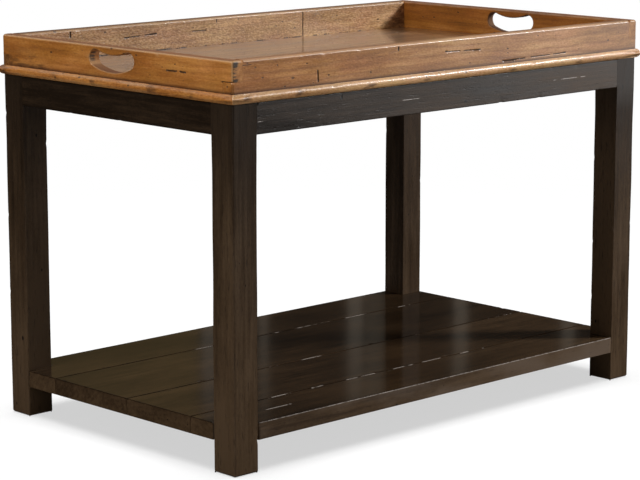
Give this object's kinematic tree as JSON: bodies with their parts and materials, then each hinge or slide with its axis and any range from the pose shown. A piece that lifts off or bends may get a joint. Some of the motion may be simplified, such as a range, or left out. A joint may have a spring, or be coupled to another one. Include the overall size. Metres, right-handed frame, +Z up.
{
  "type": "tray table",
  "caption": "Rectangular wooden tray with bowed hand holes and a half-round foot bead, lifting off a dark square-legged base with aprons and a low plank shelf.",
  "frame": {"origin": "centre of the footprint, on the floor", "axes": "+X along the long side towards the right end, +Y from front to back, +Z up"},
  "size_m": [0.914, 0.55, 0.61],
  "materials": {
    "base_wood": "espresso stain, satin, rubbed through to pale wood at a few edges",
    "shelf_wood": "espresso stain, polished, pale worn plank joints",
    "tray_wood": "honey-brown stain, waxed, distressed with cracks and specks",
    "hidden_wood": "bare planed wood",
    "screw_steel": "zinc plated"
  },
  "bodies": {
    "base": {"leg_front_left": "base_wood", "leg_front_right": "base_wood", "leg_back_left": "base_wood", "leg_back_right": "base_wood", "apron_front": "base_wood", "apron_back": "base_wood", "apron_left": "base_wood", "apron_right": "base_wood", "shelf_plank_front": "shelf_wood", "shelf_plank_mid_front": "shelf_wood", "shelf_plank_mid_back": "shelf_wood", "shelf_plank_back": "shelf_wood", "shelf_batten_left": "hidden_wood", "shelf_batten_middle": "hidden_wood", "shelf_batten_right": "hidden_wood", "corner_block_front_left": "hidden_wood", "corner_block_front_right": "hidden_wood", "corner_block_back_left": "hidden_wood", "corner_block_back_right": "hidden_wood", "shelf_screws": "screw_steel", "corner_block_screws": "screw_steel"},
    "tray": {"tray_rail_front": "tray_wood", "tray_rail_back": "tray_wood", "tray_end_left": "tray_wood", "tray_end_right": "tray_wood", "bead_front": "tray_wood", "bead_back": "tray_wood", "bead_left": "tray_wood", "bead_right": "tray_wood", "tray_floor": "tray_wood", "tray_cleat_left": "hidden_wood", "tray_cleat_right": "hidden_wood", "tray_cleat_screws": "screw_steel"}
  },
  "joints": [
    {"name": "tray_lift", "type": "slide", "parent": "base", "child": "tray", "axis": [0, 0, 1], "range_m": [0, 0.25]}
  ]
}
